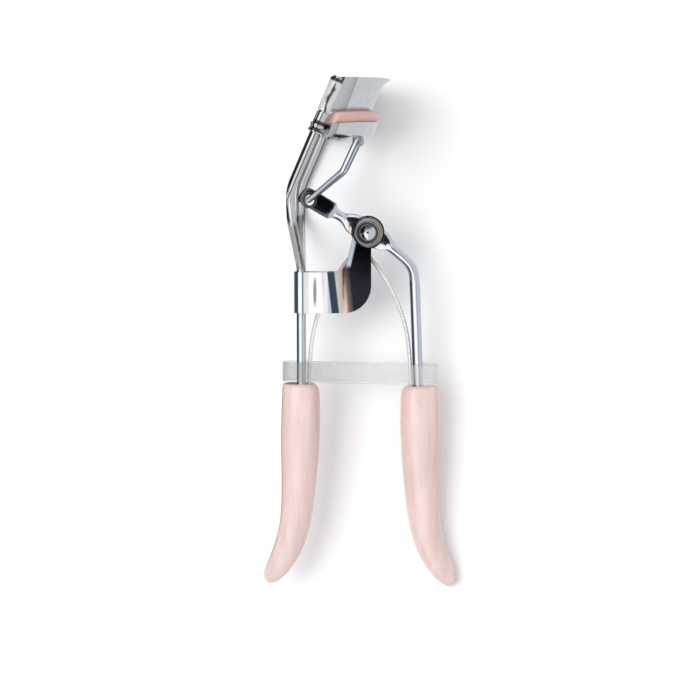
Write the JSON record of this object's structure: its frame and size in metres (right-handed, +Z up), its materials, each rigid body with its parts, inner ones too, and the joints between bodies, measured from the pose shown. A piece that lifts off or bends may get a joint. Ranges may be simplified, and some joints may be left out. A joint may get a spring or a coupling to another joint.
{
  "type": "eyelash curler",
  "caption": "Hand-held eyelash curler: curved plated jaws with a soft pad, a lever with a stirrup that slides the lower jaw on guide wires, and pale pink plastic grips.",
  "frame": {"origin": "bottom centre of the whole object's box, the curler lying on its side on a table", "axes": "+Y along the length towards the jaws, +X towards the lever side, +Z up from the table"},
  "size_m": [0.039, 0.1034, 0.0352],
  "materials": {
    "guide_wire_chrome": "bright nickel plating on drawn steel wire",
    "jaw_chrome": "bright nickel plating on pressed steel sheet",
    "collar_chrome": "bright plated turned metal",
    "stirrup_chrome": "bright nickel plating on drawn steel wire",
    "lever_chrome": "bright nickel plating on a flattened steel rod",
    "bracket_chrome": "bright nickel plating on folded steel sheet",
    "rivet_chrome": "bright plated, slightly worn where it was pressed",
    "spring_steel": "drawn spring wire, plain",
    "handle_plastic": "pale pink moulded plastic, soft gloss",
    "pad_silicone": "salmon pink silicone, satin",
    "strap_film": "clear stretch film"
  },
  "bodies": {
    "frame": {"near_guide_wire": "guide_wire_chrome", "far_guide_wire": "guide_wire_chrome", "upper_jaw": "jaw_chrome", "pivot_bracket": "bracket_chrome", "pivot_rivet": "rivet_chrome", "near_rivet_washer": "rivet_chrome", "far_rivet_washer": "rivet_chrome", "near_spacer": "rivet_chrome", "far_spacer": "rivet_chrome", "left_handle": "handle_plastic", "return_spring": "spring_steel", "retaining_strap": "strap_film"},
    "lever": {"lever_arm": "lever_chrome", "crosshead_bush": "collar_chrome", "right_handle": "handle_plastic"},
    "lower_jaw": {"lower_jaw": "jaw_chrome", "near_slide_collar": "collar_chrome", "far_slide_collar": "collar_chrome", "lash_pad": "pad_silicone"},
    "stirrup": {"stirrup": "stirrup_chrome"}
  },
  "joints": [
    {"name": "lever_hinge", "type": "hinge", "parent": "frame", "child": "lever", "pos_m": [0.00315, 0.01976, 0.01337], "axis": [0.1983, -0.1198, 0.9728], "range_deg": [0, 28], "deforming": ["return_spring", "retaining_strap"]},
    {"name": "lower_jaw_slide", "type": "slide", "parent": "frame", "child": "lower_jaw", "axis": [-0.408, -0.9125, -0.0292], "range_m": [0, 0.0064]},
    {"name": "stirrup_hinge", "type": "hinge", "parent": "lower_jaw", "child": "stirrup", "pos_m": [0.00162, 0.03773, 0.0159], "axis": [0.1983, -0.1198, 0.9728], "range_deg": [0, 3.5]}
  ],
  "couplings": [
    {"joint": "lower_jaw_slide", "follows": "lever_hinge", "m_per_rad": 0.01292},
    {"joint": "stirrup_hinge", "follows": "lever_hinge", "ratio": 0.1}
  ]
}
